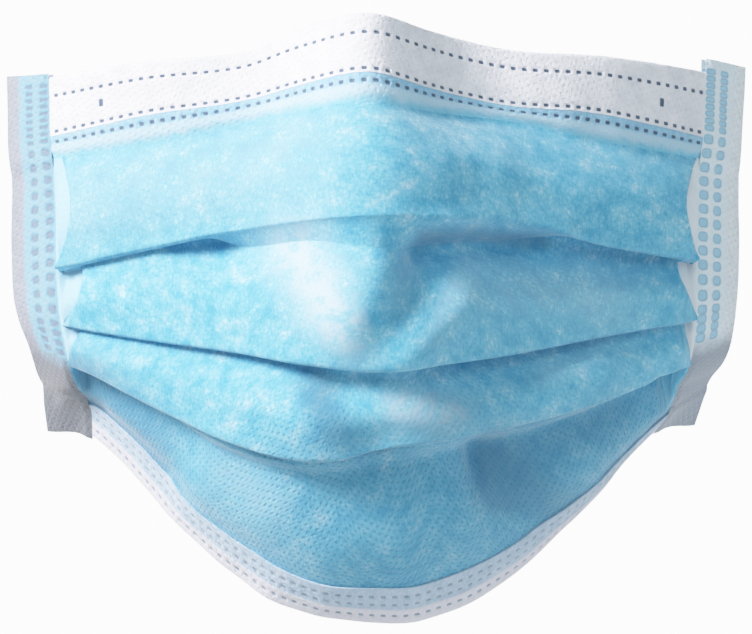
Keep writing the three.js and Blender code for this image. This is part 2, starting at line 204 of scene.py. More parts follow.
# the named lines across the cloth, as seen from the front: where each one ends at the left and the right,
# and its heights at the stations. centre and side are its depths at the middle and at both ends, nose is
# how much deeper it lies beside the nose, over noseWidth, and roundness how late the cheeks turn back
sheetLines = {
    "topEdge": {
        "drop": 0, "left": -75.6, "right": 79.5,
        "heights": [-6.3, -6.0, -3.1, -1.5, 3.4, 5.7, 2.5, -1.1, -2.0, -4.6, -6.2],
        "centre": 0, "nose": 13, "noseWidth": 14, "side": 40, "roundness": 3.0,
    },
    "bandEdge": {
        "drop": 13, "left": -75.1, "right": 78.7,
        "heights": [-19.8, -18.5, -14.4, -12.0, -8.7, -6.6, -9.6, -12.9, -14.2, -18.4, -20.2],
        "centre": -3.5, "nose": 14, "noseWidth": 15, "side": 39, "roundness": 2.9,
    },
    "stripEdge": {
        "drop": 18.5, "left": -74.8, "right": 78.4,
        "heights": [-24.5, -23.2, -20.3, -16.8, -14.1, -12.6, -14.4, -16.1, -19.7, -23.0, -24.2],
        "centre": -5.5, "nose": 15, "noseWidth": 16, "side": 38, "roundness": 2.7,
    },
    "upperFold": {
        "drop": 43.5, "left": -74.4, "right": 78.4,
        "heights": [-48.8, -46.9, -42.4, -39.5, -37.5, -36.5, -36.9, -38.2, -41.8, -45.0, -46.2],
        "centre": -12, "nose": 17, "noseWidth": 20, "side": 35, "roundness": 2.3,
    },
    "middleFold": {
        "drop": 63.5, "left": -73.2, "right": 77.6,
        "heights": [-56.4, -57.8, -61.2, -63.6, -65.8, -66.9, -65.8, -63.8, -60.3, -56.7, -55.2],
        "centre": -12.5, "nose": 15, "noseWidth": 24, "side": 34, "roundness": 2.2,
    },
    "lowerFold": {
        "drop": 75.5, "left": -71.1, "right": 76.2,
        "heights": [-61.9, -65.3, -75.5, -82.5, -85.1, -83.7, -80.6, -78.1, -73.6, -65.7, -62.3],
        "centre": -7, "nose": 9, "noseWidth": 26, "side": 35, "roundness": 2.2,
    },
    "chin": {
        "drop": 86.5, "left": -69.7, "right": 73.8,
        "heights": [-67.5, -71.2, -84.3, -93.9, -98.0, -98.1, -96.7, -92.2, -83.6, -71.4, -67.6],
        "centre": 0, "nose": 5, "noseWidth": 28, "side": 38, "roundness": 2.1,
    },
    "hemEdge": {
        "drop": 99.5, "left": -68.5, "right": 71.4,
        "heights": [-72.1, -75.0, -92.0, -104.4, -110.6, -111.9, -111.1, -105.4, -94.1, -76.4, -71.7],
        "centre": 10, "nose": 2, "noseWidth": 30, "side": 42, "roundness": 2.1,
    },
    "bottomEdge": {
        "drop": 109.5, "left": -67.7, "right": 69.5,
        "heights": [-79.6, -81.0, -98.5, -112.4, -117.7, -119.4, -119.1, -113.1, -99.0, -79.5, -78.1],
        "centre": 19, "nose": 0, "noseWidth": 30, "side": 46, "roundness": 2.0,
    },
}

# angle is how far each pleat turns back, in degrees at the stations, and tuck its hidden length
pleats = {
    "upperFold": {
        "angle": [180, 180, 180, 62, 44, 30, 60, 76, 120, 180, 180],
        "tuck": [6, 6, 4, 4.2, 4.2, 6, 7.8, 7, 5, 6, 6],
    },
    "middleFold": {
        "angle": [180, 180, 176, 168, 156, 150, 154, 158, 170, 180, 180],
        "tuck": [3, 3.5, 6, 7, 7, 6, 6, 6, 6, 3.5, 3],
    },
    "lowerFold": {
        "angle": [180, 180, 178, 174, 168, 165, 165, 158, 165, 178, 180],
        "tuck": [2, 2, 5, 6, 6, 6, 5, 4.5, 4, 2, 2],
    },
}

# puff is how far a panel swells and rows how many rows of points cross its open part.
# step is the height of its raised ends, and left and right how far in from the tapes they stay at the
# panel's top, middle and bottom. recess is how far it draws back below the fold above it, and
# recessFrom and recessTo are the parts of its height where that sets in and fades.
panels = [
    {"from": "topEdge", "to": "stripEdge", "puff": 0, "rows": 22, "step": 0},
    {"from": "stripEdge", "to": "upperFold", "puff": 1.4, "rows": 24, "step": 1.6,
     "left": [2.6, 6.2, 0.9], "right": [1.0, 6.2, 1.0], "flatFrom": -0.5, "climb": 5},
    {"from": "upperFold", "to": "middleFold", "puff": 0.7, "rows": 16, "step": 1.2,
     "left": [6.5, 6.6, 1.6], "right": [4.8, 4.4, 0.8]},
    {"from": "middleFold", "to": "lowerFold", "puff": 0.8, "rows": 9, "step": 1.0,
     "left": [5.0, 3.6, 1.0], "right": [2.6, 3.2, 1.2]},
    {"from": "lowerFold", "to": "hemEdge", "puff": 1.6, "rows": 28, "step": 0,
     "recess": 3.0, "recessFrom": [0.04, 0.16], "recessTo": [0.25, 0.85]},
    {"from": "hemEdge", "to": "bottomEdge", "puff": 0, "rows": 12, "step": 0},
]

# dents and swells of the worn cloth, each along a line seen from the front, in x and z
dents = [
    {"name": "slantingValley", "line": [(12, -44), (3, -60)], "reach": 4.5, "height": -2.6},
    {"name": "valleyRidge", "line": [(19, -46), (17, -55), (8, -64)], "reach": 4.6, "height": 1.9},
    {"name": "noseTip", "line": [(1, -49), (0, -57)], "reach": 8.0, "height": 3.2},
    {"name": "noseSideSwell", "line": [(23, -24), (26, -31)], "reach": 6.0, "height": 0.8},
    {"name": "rightLip", "line": [(12, -38.5), (21, -36.5), (30, -37.5), (38, -39.5)],
     "reach": 2.8, "height": 1.5},
    {"name": "rightPocket", "line": [(12, -42.6), (22, -42.4), (32, -42.2)], "reach": 2.2, "height": -1.3},
    {"name": "lipDent", "line": [(-14, -57), (-10, -63)], "reach": 4.5, "height": -0.9},
    {"name": "mouthHollow", "line": [(-5, -72), (1, -80)], "reach": 6.2, "height": -3.4},
    {"name": "mouthSwell", "line": [(14, -78), (26, -75)], "reach": 6.0, "height": 2.2},
    {"name": "rightCheekSwell", "line": [(36, -71), (45, -68)], "reach": 6.0, "height": 1.5},
    {"name": "chinHollow", "line": [(27, -86), (31, -95)], "reach": 6.0, "height": -2.6},
    {"name": "chinCrease", "line": [(23.5, -83), (24.5, -90)], "reach": 1.9, "height": -1.5},
    {"name": "chinSwell", "line": [(13, -88), (17, -96)], "reach": 6.0, "height": 1.2},
    {"name": "jawSwell", "line": [(-30, -86), (-18, -94)], "reach": 8.0, "height": 1.6},
    {"name": "leftJawHollow", "line": [(-56, -76), (-42, -88)], "reach": 6.0, "height": -2.8},
    {"name": "rightTuck", "line": [(62, -57), (63, -62)], "reach": 1.3, "height": 0.7},
    {"name": "rightPucker", "line": [(58, -66), (61, -70)], "reach": 1.6, "height": -0.8},
    {"name": "upperPucker", "line": [(-52, -50), (-44, -53)], "reach": 1.8, "height": -0.5},
    {"name": "leftTapeCrease", "line": [(-74, -68), (-66, -73)], "reach": 1.5, "height": -0.5},
    {"name": "rightTapeCrease", "line": [(66, -71), (75, -68)], "reach": 1.4, "height": -0.5},
]

# painted light and shade: along each line the cloth is painted paler where the light falls full on it, a
# painted highlight, and darker in the hollows and pockets where shade falls, painted shade
tones = [
    {"name": "nose", "line": [(-14, -44), (-5, -58)], "reach": 8, "amount": 0.42},
    {"name": "ridge", "line": [(18, -48), (13, -60)], "reach": 4, "amount": 0.2},
    {"name": "lip", "line": [(7, -74), (19, -77)], "reach": 5, "amount": 0.38},
    {"name": "rightCheek", "line": [(37, -70), (46, -67)], "reach": 5, "amount": 0.22},
    {"name": "leftJaw", "line": [(-34, -86), (-20, -95)], "reach": 7, "amount": 0.25},
    {"name": "valley", "line": [(9, -46), (6, -56)], "reach": 4.5, "amount": -0.5},
    {"name": "mouth", "line": [(-11, -70), (-7, -79)], "reach": 5, "amount": -0.85},
    {"name": "leftCheek", "line": [(-58, -32), (-14, -22)], "reach": 14, "amount": 0.2},
    {"name": "rightChin", "line": [(31, -92), (41, -97)], "reach": 6, "amount": -0.8},
    {"name": "rightPocket", "line": [(12, -40), (22, -39.4), (36, -41)], "reach": 2.2, "amount": -0.75},
    {"name": "secondRight", "line": [(30, -50), (50, -53)], "reach": 9, "amount": 0.2},
    {"name": "leftCorner", "line": [(-60, -72), (-47, -84)], "reach": 9, "amount": -1.0},
    {"name": "underLip", "line": [(24, -83), (26, -92)], "reach": 4.5, "amount": -0.8},
    {"name": "rightJaw", "line": [(34, -84), (50, -76)], "reach": 8, "amount": -0.5},
]

# the cloth is never quite even: a few dozen faint waves of random length and direction
unevenness = {
    "waves": 40,
    "shortest": 7,
    "longest": 30,
    "height": 0.02,
    "seed": 11,
}

sheet = {
    "tapeWidth": 12.4,
    "pieceGap": 0.1,
    "pressedWidth": 5.0,     # the pleats rise out of the flat part over this width beside a tape
    "stepWidth": 1.3,        # the panels end beside the tapes in a raised edge this wide
    "grooveDepth": 0.6,      # and a groove runs along the foot of it
    "stepBlend": 0.35,       # a panel's rise begins and ends this near to its folds
    "leaningAngle": 140,     # a pleat turned back further than this lies flat on the body
    "bodyThickness": 0.5,
    "hemThickness": 0.4,
    "foldRadius": 0.42,
    "leafGap": 0.06,         # air between the body and a hem or tape
    "frontLean": 1.5,        # in radians, a hem or tape that leans further faces the back
    "weldSlope": 0.15,       # half the width over which a weld mark sinks
    "sharpEdge": 50,         # in degrees, so the thin rims stay crisp
}
leafOffset = (sheet["bodyThickness"] + sheet["hemThickness"]) / 2 + sheet["leafGap"]
lineSamples = 160
finiteStep = 0.002           # in shares of the sheet, for its slopes


def pick(table, index):
    # the table's row at each index
    if table.ndim == 1:
        return table[index]
    return np.take_along_axis(table, index[None, ..., None], axis=0)[0]


def curveThrough(knots, values, at):
    # a smooth curve through the values at the knots, straight beyond both ends
    knots = np.asarray(knots, float)
    values = np.asarray(values, float)
    at = np.asarray(at, float)
    spans = np.diff(knots).reshape([-1] + [1] * (values.ndim - 1))
    slopes = np.empty_like(values)
    slopes[1:-1] = (values[2:] - values[:-2]) / (spans[1:] + spans[:-1])
    slopes[0] = (values[1] - values[0]) / spans[0]
    slopes[-1] = (values[-1] - values[-2]) / spans[-1]
    i = np.clip(np.searchsorted(knots, at) - 1, 0, len(knots) - 2)
    span = knots[i + 1] - knots[i]
    raw = (at - knots[i]) / span
    t = np.clip(raw, 0, 1)
    beyond = (raw - t) * span
    if values.ndim > 1:
        t, span, beyond = t[..., None], span[..., None], beyond[..., None]
    startSlope = pick(slopes, i)
    endSlope = pick(slopes, i + 1)
    curve = (
        (2 * t**3 - 3 * t**2 + 1) * pick(values, i)
        + (t**3 - 2 * t**2 + t) * span * startSlope
        + (3 * t**2 - 2 * t**3) * pick(values, i + 1)
        + (t**3 - t**2) * span * endSlope
    )
    return curve + beyond * np.where(beyond < 0, startSlope, endSlope)


def smoothStep(start, end, at):
    t = np.clip((at - start) / (end - start), 0, 1)
    return t * t * (3 - 2 * t)


def linePoint(line, fraction):
    x = line["left"] + fraction * (line["right"] - line["left"])
    reach = (line["right"] - line["left"]) / 2
    nosePart = line["nose"] * (1 - np.exp(-((x / line["noseWidth"]) ** 2)))
    cheekPart = (line["side"] - line["centre"] - line["nose"]) * np.abs(x / reach) ** line["roundness"]
    height = curveThrough(stations, line["heights"], fraction)
    return np.stack([x, line["centre"] + nosePart + cheekPart, height], axis=-1)


for line in sheetLines.values():
    samples = linePoint(line, np.linspace(0, 1, lineSamples + 1))
    steps = np.linalg.norm(np.diff(samples, axis=0), axis=1)
    line["lengths"] = np.concatenate([[0], np.cumsum(steps)])
lineDrops = np.array([line["drop"] for line in sheetLines.values()], float)
clothWidth = sheetLines["stripEdge"]["lengths"][-1]


def seenFraction(line, share):
    # equal shares of a line's length are the same thread in every line
    wanted = np.clip(share, 0, 1) * line["lengths"][-1]
    return np.interp(wanted, line["lengths"], np.linspace(0, 1, lineSamples + 1))


def basePoint(share, drop):
    share, drop = np.broadcast_arrays(share, drop)
    threads = np.stack([linePoint(line, seenFraction(line, share)) for line in sheetLines.values()])
    return curveThrough(lineDrops, threads, drop)


def baseFrame(share, drop):
    # a point of the smooth sheet, its direction to the outside, and its length for each mm of drop
    share, drop = np.broadcast_arrays(share, drop)
    dropStep = finiteStep * lineDrops[-1]
    left = np.maximum(share - finiteStep, 0)
    right = np.minimum(share + finiteStep, 1)
    across = (basePoint(right, drop) - basePoint(left, drop)) / (right - left)[..., None]
    down = (basePoint(share, drop + dropStep) - basePoint(share, drop - dropStep)) / (2 * dropStep)
    outward = np.cross(across, down)
    outward /= np.linalg.norm(outward, axis=-1, keepdims=True)
    outward *= np.where(outward[..., 1:2] > 0, -1, 1)
    return basePoint(share, drop), outward, np.linalg.norm(down, axis=-1)


def downScale(share, drop):
    return baseFrame(share, drop)[2]


def distanceFromSide(share):
    return np.minimum(share, 1 - share) * clothWidth


def pleatRise(share, width):
    # 0 at the tapes and 1 where the pleats are fully open
    inner = sheet["tapeWidth"] + sheet["pieceGap"]
    return smoothStep(inner, inner + width, distanceFromSide(share))


def panelEdge(panel, share, t):
    # 0 in the flat part beside a tape and 1 on the raised panel
    edge = np.where(share < 0.5, curveThrough([0, 0.5, 1], panel["left"], t),
                    curveThrough([0, 0.5, 1], panel["right"], t))
    inside = distanceFromSide(share) - sheet["tapeWidth"] - edge
    return smoothStep(-sheet["stepWidth"] / 2, sheet["stepWidth"] / 2, inside)


def groove(raised):
    # a hollow at the foot of the raised edge, 1 at its deepest
    return 27 / 4 * raised * (1 - raised) ** 2


def pressedFlat(share, drop):
    # 1 where the cloth lies flat between a tape and a raised panel
    flat = np.zeros(np.broadcast(share, drop).shape)
    for panel in panels:
        if panel["step"]:
            start = sheetLines[panel["from"]]["drop"]
            end = sheetLines[panel["to"]]["drop"]
            t = (drop - start) / (end - start)
            inPanel = (t > panel.get("flatFrom", 0)) & (t <= 1)
            flat = np.where(inPanel, 1 - panelEdge(panel, share, np.clip(t, 0, 1)), flat)
    return flat


def lineDistance(point, corners):
    # distance from a point seen from the front to a bent line of corners
    best = np.full(point.shape[:-1], np.inf)
    here = point[..., [0, 2]]
    for start, end in zip(corners[:-1], corners[1:]):
        along = np.array(end, float) - np.array(start, float)
        t = np.clip(((here - start) @ along) / (along @ along), 0, 1)
        away = np.linalg.norm(here - start - t[..., None] * along, axis=-1)
        best = np.minimum(best, away)
    return best


def paintedLightAndShade(point):
    # above 0 for a painted highlight, below 0 for painted shade
    paintedTone = np.zeros(point.shape[:-1])
    for spot in tones:
        away = lineDistance(point, spot["line"]) / spot["reach"]
        paintedTone += spot["amount"] * np.exp(-away * away)
    return paintedTone


draws = np.random.default_rng(unevenness["seed"])
waveLengths = draws.uniform(unevenness["shortest"], unevenness["longest"], unevenness["waves"])
waveTurns = draws.uniform(0, math.pi, unevenness["waves"])
waveStarts = draws.uniform(0, 2 * math.pi, unevenness["waves"])


def unevenHeight(point):
    height = np.zeros(point.shape[:-1])
    for length, turn, start in zip(waveLengths, waveTurns, waveStarts):
        along = point[..., 0] * math.cos(turn) + point[..., 2] * math.sin(turn)
        height += np.sin(2 * math.pi * along / length + start) * length / unevenness["longest"]
    return height * unevenness["height"] * 2


def relief(share, drop, point):
    # swells, dents and wrinkles, the same for every layer that lies there
    height = np.zeros(point.shape[:-1])
    rise = pleatRise(share, sheet["pressedWidth"] / 2)
    for panel in panels:
        start = sheetLines[panel["from"]]["drop"]
        end = sheetLines[panel["to"]]["drop"]
        t = np.clip((drop - start) / (end - start), 0, 1)
        height += panel["puff"] * np.sin(np.pi * t) ** 2 * rise
        if "recess" in panel:
            setsIn = smoothStep(*panel["recessFrom"], t)
            stays = smoothStep(panel["recessTo"][1], panel["recessTo"][0], t)
            height -= panel["recess"] * setsIn * stays * rise
        if panel["step"]:
            fromWidth = panel.get("climb", sheet["stepBlend"])
            begun = smoothStep(start - sheet["stepBlend"], start + fromWidth, drop)
            ended = smoothStep(end - sheet["stepBlend"], end + sheet["stepBlend"], drop)
            raised = panelEdge(panel, share, t)
            height += begun * (1 - ended) * (panel["step"] * raised - sheet["grooveDepth"] * groove(raised))
    for dent in dents:
        away = lineDistance(point, dent["line"]) / dent["reach"]
        height += dent["height"] * np.exp(-away * away)
    return height + unevenHeight(point)


def placePoint(share, drop, rise):
    here, outward, _ = baseFrame(share, drop)
    return here + outward * (rise + relief(share, drop, here))[..., None]


def facesOfPath(share, path, thickness, downward=1):
    # the two faces of cloth laid along a path of drop, rise and lean
    drop, rise, lean = path
    half = thickness / 2
    dropPart = downward * np.sin(lean) * half / downScale(share, drop)
    risePart = np.cos(lean) * half
    outer = placePoint(share, drop + dropPart, rise + risePart)
    inner = placePoint(share, drop - dropPart, rise - risePart)
    return outer, inner


def clothLengths(points):
    # distance down the cloth at each row of each column
    steps = np.linalg.norm(np.diff(points, axis=1), axis=2)
    return np.concatenate([np.zeros((len(points), 1)), np.cumsum(steps, axis=1)], axis=1)


def addCloth(name, outer, inner, flat, materials, node, layers):
    # a closed mesh between the outer and the inner face, columns by rows
    columns, rows = outer.shape[:2]
    points = np.concatenate([outer.reshape(-1, 3), inner.reshape(-1, 3)]) * mm
    numbers = np.arange(2 * columns * rows).reshape(2, columns, rows)
    front, back = numbers
    sheets = [
        np.stack([front[:-1, :-1], front[:-1, 1:], front[1:, 1:], front[1:, :-1]], axis=-1),
        np.stack([back[:-1, :-1], back[1:, :-1], back[1:, 1:], back[:-1, 1:]], axis=-1),
    ]
    rims = [
        np.stack([front[:-1, 0], front[1:, 0], back[1:, 0], back[:-1, 0]], axis=-1),
        np.stack([front[:-1, -1], back[:-1, -1], back[1:, -1], front[1:, -1]], axis=-1),
        np.stack([front[0, :-1], back[0, :-1], back[0, 1:], front[0, 1:]], axis=-1),
        np.stack([front[-1, :-1], front[-1, 1:], back[-1, 1:], back[-1, :-1]], axis=-1),
    ]
    parts = [part.reshape(-1, 4) for part in sheets + rims]
    quads = np.concatenate(parts)
    slots = np.concatenate([np.full(len(part), 1 if i == 1 else 0) for i, part in enumerate(parts)])
    corners = points[quads]
    volume = np.einsum("ij,ij->i", corners[:, 0], np.cross(corners[:, 1], corners[:, 2])).sum()
    volume += np.einsum("ij,ij->i", corners[:, 0], np.cross(corners[:, 2], corners[:, 3])).sum()
    if volume < 0:
        quads = quads[:, ::-1]
    mesh = bpy.data.meshes.new(name)
    mesh.from_pydata(points.tolist(), [], quads.tolist())
    mesh.shade_smooth()
    mesh.set_sharp_from_angle(angle=math.radians(sheet["sharpEdge"]))
    for material in materials:
        mesh.materials.append(material)
    mesh.polygons.foreach_set("material_index", np.minimum(slots, len(materials) - 1).astype(np.int32))
    flatPoints = np.concatenate([flat.reshape(-1, 2)] * 2)
    layer = mesh.uv_layers.new(name="clothFlat")
    layer.data.foreach_set("uv", flatPoints[quads.ravel()].ravel())
    for layerName, values in layers.items():
        attribute = mesh.attributes.new(layerName, "FLOAT", "POINT")
        attribute.data.foreach_set("value", np.concatenate([values.ravel()] * 2).astype(np.float32))
    mesh.update()
    piece = bpy.data.objects.new(name, mesh)
    bpy.context.collection.objects.link(piece)
    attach(piece, "root")
    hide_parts(node)
    return piece


# Materials

# Polypropylene spunbond, dyed blue: endless fibres laid at random and bonded by heated points.
# It looks like soft matt paper, cloudy where the fibres lie thicker, with a grid of small pressed ovals.
blueSpunbond = {
    "thin": "#b2dcee",
    "middle": "#76c1e3",
    "middleFrom": [1.2, 1.6],   # how thickly the fibres lie where each colour sets in and is full
    "dense": "#429ecd",
    "denseFrom": [1.5, 1.95],
    "cloudSize": 9,
    "patchSize": 3.6,
    "fleckSize": 0.55,       # fibres are 0.02 mm thick, and their clumps are drawn at this size
    "strandStretch": (1.6, 0.4, 1),
    "webSize": 1.5,
    "webWidth": 0.24,
    "webColour": "#3fa0d0",
    "webPart": 0.36,
    "bondAcross": 1.0,
    "bondDown": 0.9,
    "bondTurn": 18,
    "bondColour": "#3583ad",
    "bondPart": 0.5,
    "bondFrom": 88,          # the ovals hardly show above here, where the light is flat on the cloth
    "bondFade": 30,
    "bondFaintest": 0.32,
    # the colours of the painted highlights and of the painted shade
    "paintedHighlightColour": "#e3f0f8",
    "paintedShadeColour": "#437da0",
    "relief": 0.13,
    "roughness": 0.75,
    "sheen": 0.4,
    "sheenRoughness": 0.5,
}
# The same cloth undyed, as the inner layer and the hems have it, so it is matt and nearly white.
whiteSpunbond = dict(
    blueSpunbond, thin="#f8f8fc", middle="#eceef6", dense="#dde0ea",
    webColour="#dfe3ee", bondColour="#cdd2df", bondPart=0.12, bondFrom=-50,
    webPart=0.12, relief=0.1,
)


# the patterns that add up to how thickly the fibres lie, from the widest clouds to single clumps
clumpPatterns = [
    {"name": "cloud", "size": "cloudSize", "detail": 2, "roughness": 0.5, "weight": 0.5},
    {"name": "patch", "size": "patchSize", "detail": 4, "roughness": 0.6, "weight": 1.3},
    {"name": "fleck", "size": "fleckSize", "detail": 3, "roughness": 0.65, "weight": 0.55},
    {"name": "strand", "size": "fleckSize", "detail": 3, "roughness": 0.6, "weight": 0.45, "turn": 25},
    {"name": "crossStrand", "size": "fleckSize", "detail": 3, "roughness": 0.6, "weight": 0.45, "turn": -40},
]


def spunbondMaterial(name, look, bands=(), weld=None, rim=None, flat=None, withPaintedShading=False):
    # bands repaint the cloth beyond a distance across (X) or down (Y) the piece, weld and rim colour its
    # weld marks, flat holds the left and right colours of the pressed ends, and the last switch adds the
    # painted highlights and painted shade
    material, tree = newMaterial(name)
    place = addNode(tree, "ShaderNodeUVMap", result="UV", uv_map="clothFlat")
    axes = addNode(tree, "ShaderNodeSeparateXYZ", {"Vector": place}).outputs
    patterns = {}
    clumps = 0.0
    for row in clumpPatterns:
        vector = place
        if "turn" in row:
            vector = addNode(tree, "ShaderNodeMapping", {
                "Vector": place, "Rotation": (0, 0, math.radians(row["turn"])),
                "Scale": look["strandStretch"]}, "Vector")
        pattern = addNode(tree, "ShaderNodeTexNoise", {
            "Vector": vector, "Scale": 1 / look[row["size"]],
            "Detail": row["detail"], "Roughness": row["roughness"]}, "Fac")
        clumps = addNode(tree, "ShaderNodeMath", {
            0: pattern, 1: row["weight"], 2: clumps}, "Value", operation="MULTIPLY_ADD")
        patterns[row["name"]] = pattern
    # a net of crossing fibres, bent out of line by a noise
    bent = addNode(tree, "ShaderNodeTexNoise", {
        "Vector": place, "Scale": 1 / look["patchSize"], "Detail": 2.0}, "Color")
    bentPlace = addNode(tree, "ShaderNodeVectorMath", {0: place, 1: bent}, "Vector", operation="ADD")
    web = addNode(tree, "ShaderNodeTexVoronoi", {
        "Vector": bentPlace, "Scale": 1 / look["webSize"]}, "Distance", feature="DISTANCE_TO_EDGE")
    # two crossed rows of waves leave small ovals where both are high
    turned = addNode(tree, "ShaderNodeMapping", {
        "Vector": place, "Rotation": (0, 0, math.radians(look["bondTurn"]))}, "Vector")
    turnedAxes = addNode(tree, "ShaderNodeSeparateXYZ", {"Vector": turned}).outputs
    crossed = 1.0
    for axis, pitch in (("X", look["bondAcross"]), ("Y", look["bondDown"])):
        phase = addNode(tree, "ShaderNodeMath", {
            0: turnedAxes[axis], 1: math.pi / pitch}, "Value", operation="MULTIPLY")
        wave = addNode(tree, "ShaderNodeMath", {0: phase}, "Value", operation="COSINE")
        crossed = addNode(tree, "ShaderNodeMath", {0: wave, 1: crossed}, "Value", operation="MULTIPLY")
    shown = addNode(tree, "ShaderNodeMapRange", {
        "Value": axes["Y"], "From Min": look["bondFrom"], "From Max": look["bondFrom"] + look["bondFade"],
        "To Min": look["bondFaintest"]}, "Result", interpolation_type="SMOOTHSTEP")
    bond = addNode(tree, "ShaderNodeMapRange", {
        "Value": crossed, "From Min": 0.2, "From Max": 0.85, "To Max": shown},
        "Result", interpolation_type="SMOOTHSTEP")
    # each coat covers what is under it with its colour, from one value of its guide to another
    coats = [
        {"by": clumps, "over": look["middleFrom"], "colour": linear(look["middle"])},
        {"by": clumps, "over": look["denseFrom"], "colour": linear(look["dense"])},
        {"by": web, "over": [look["webWidth"], 0], "part": look["webPart"],
         "colour": linear(look["webColour"])},
        {"by": bond, "over": [0, 1], "part": look["bondPart"], "colour": linear(look["bondColour"]),
         "shape": "LINEAR"},
    ]
    # painted highlights and painted shade from the body's point layer, the highlights mottled by the patches
    if withPaintedShading:
        paintedTone = addNode(tree, "ShaderNodeAttribute", result="Fac", attribute_name="paintedLightAndShade")
        uneven = addNode(tree, "ShaderNodeMapRange", {
            "Value": patterns["patch"], "From Min": 0.3, "From Max": 0.6, "To Min": 0.3, "To Max": 1.3},
            "Result", interpolation_type="SMOOTHSTEP")
        mottledHighlight = addNode(tree, "ShaderNodeMath", {0: paintedTone, 1: uneven}, "Value", operation="MULTIPLY")
        coats += [
            {"by": mottledHighlight, "over": [0, 1], "part": 0.9, "colour": linear(look["paintedHighlightColour"])},
            {"by": paintedTone, "over": [0, -1], "part": 0.75, "colour": linear(look["paintedShadeColour"])},
        ]
    for band in bands:
        ragged = band.get("ragged", 0)
        distance = addNode(tree, "ShaderNodeMath", {
            0: patterns["patch"], 1: ragged, 2: axes[band["axis"]]}, "Value", operation="MULTIPLY_ADD")
        coats.append({
            "by": distance, "over": [band["start"] + ragged / 2, band["end"] + ragged / 2],
            "part": band.get("part", 1), "colour": linear(band["colour"])})
    if flat is not None:
        # pressed ends, painted paler towards the right side of the mask, which lies in shade, with a crease
        # of painted shade round them
        pressedPart = addNode(tree, "ShaderNodeAttribute", result="Fac", attribute_name="pressedFlat")
        rest = addNode(tree, "ShaderNodeMath", {0: 1.0, 1: pressedPart}, "Value", operation="SUBTRACT")
        paintedCreaseShade = addNode(tree, "ShaderNodeMath", {0: pressedPart, 1: rest}, "Value", operation="MULTIPLY")
        side = addNode(tree, "ShaderNodeMapRange", {
            "Value": axes["X"], "From Min": 40, "From Max": 120}, "Result", interpolation_type="SMOOTHSTEP")
        pressedAndPaintedLightColour = addNode(tree, "ShaderNodeMix", {
            "Factor": side, "A": linear(flat[0]), "B": linear(flat[1])}, "Result", data_type="RGBA")
        coats += [
            {"by": paintedCreaseShade, "over": [0, 0.25], "part": 0.9, "colour": linear(look["dense"]),
             "shape": "LINEAR"},
            {"by": pressedPart, "over": [0.6, 1], "part": 0.85, "colour": pressedAndPaintedLightColour},
        ]
    if weld is not None:
        edge = addNode(tree, "ShaderNodeAttribute", result="Fac", attribute_name="weldEdge")
        if rim is not None:
            coats.append({"by": edge, "over": [0.35, 0], "part": 0.8, "colour": linear(rim)})
        coats.append({"by": edge, "over": [0.03, -0.2], "colour": linear(weld)})
    colour = linear(look["thin"])
    for coat in coats:
        part = addNode(tree, "ShaderNodeMapRange", {
            "Value": coat["by"], "From Min": coat["over"][0], "From Max": coat["over"][1],
            "To Max": coat.get("part", 1)}, "Result", interpolation_type=coat.get("shape", "SMOOTHSTEP"))
        colour = addNode(tree, "ShaderNodeMix", {
            "Factor": part, "A": colour, "B": coat["colour"]}, "Result", data_type="RGBA")
    # the fibres stand up and the bond points are pressed in
    height = patterns["fleck"]
    for pattern, weight in ((patterns["strand"], 0.8), (bond, -0.8)):
        height = addNode(tree, "ShaderNodeMath", {
            0: pattern, 1: weight, 2: height}, "Value", operation="MULTIPLY_ADD")
    bump = addNode(tree, "ShaderNodeBump", {
        "Height": height, "Distance": look["relief"] * mm, "Strength": 1.0}, "Normal")
    shader = addNode(tree, "ShaderNodeBsdfPrincipled", {
        "Base Color": colour, "Roughness": look["roughness"], "Sheen Weight": look["sheen"],
        "Sheen Roughness": look["sheenRoughness"], "Normal": bump}, "BSDF")
    addNode(tree, "ShaderNodeOutputMaterial", {"Surface": shader})
    return material


# painted shade: from 100 mm down the cloth the chin is painted darker, where it turns down away from the
# light. The flat ends are pressed pale, and towards the right they are painted paler still, painted light for
# the side that lies in shade
blueCloth = spunbondMaterial("blueSpunbond", blueSpunbond, bands=[
    {"axis": "Y", "start": 100, "end": 108, "colour": "#4a86a8", "part": 0.42},
], flat=("#a3d4ee", "#f2f7fb"), withPaintedShading=True)
whiteCloth = spunbondMaterial("whiteSpunbond", whiteSpunbond)


# Body

body = {
    "columnStep": 0.9,
    "fineColumnStep": 0.4,
    "fineFrom": -1,            # the closer columns begin and end this far from a tape's inner edge
    "fineTo": 11,
    "bendSteps": 7,
    "tuckSteps": 5,
    "coveredRows": 6,
    "frontRows": 8,
    "slopeStep": 0.1,
}


def foldSizes(name, share):
    # a pleat's angle, hidden length and depth at each column of the body
    fraction = seenFraction(sheetLines[name], share)
    turned = np.minimum(curveThrough(stations, pleats[name]["angle"], fraction), 180)
    angle = np.radians(turned * pleatRise(share, sheet["pressedWidth"] / 2))
    tuck = curveThrough(stations, pleats[name]["tuck"], fraction) * pleatRise(share, sheet["pressedWidth"])
    radius = sheet["foldRadius"]
    drop = np.full(share.shape, float(sheetLines[name]["drop"]))
    flatness = smoothStep(math.radians(sheet["leaningAngle"]), math.pi, angle)
    return {
        "angle": angle,
        "tuck": tuck,
        "depth": 2 * radius * (1 - np.cos(angle)) + tuck * np.sin(angle),
        "reach": tuck * (1 + flatness) / 2 + 3 * radius,
        "drop": drop,
        "scale": downScale(share, drop),
    }


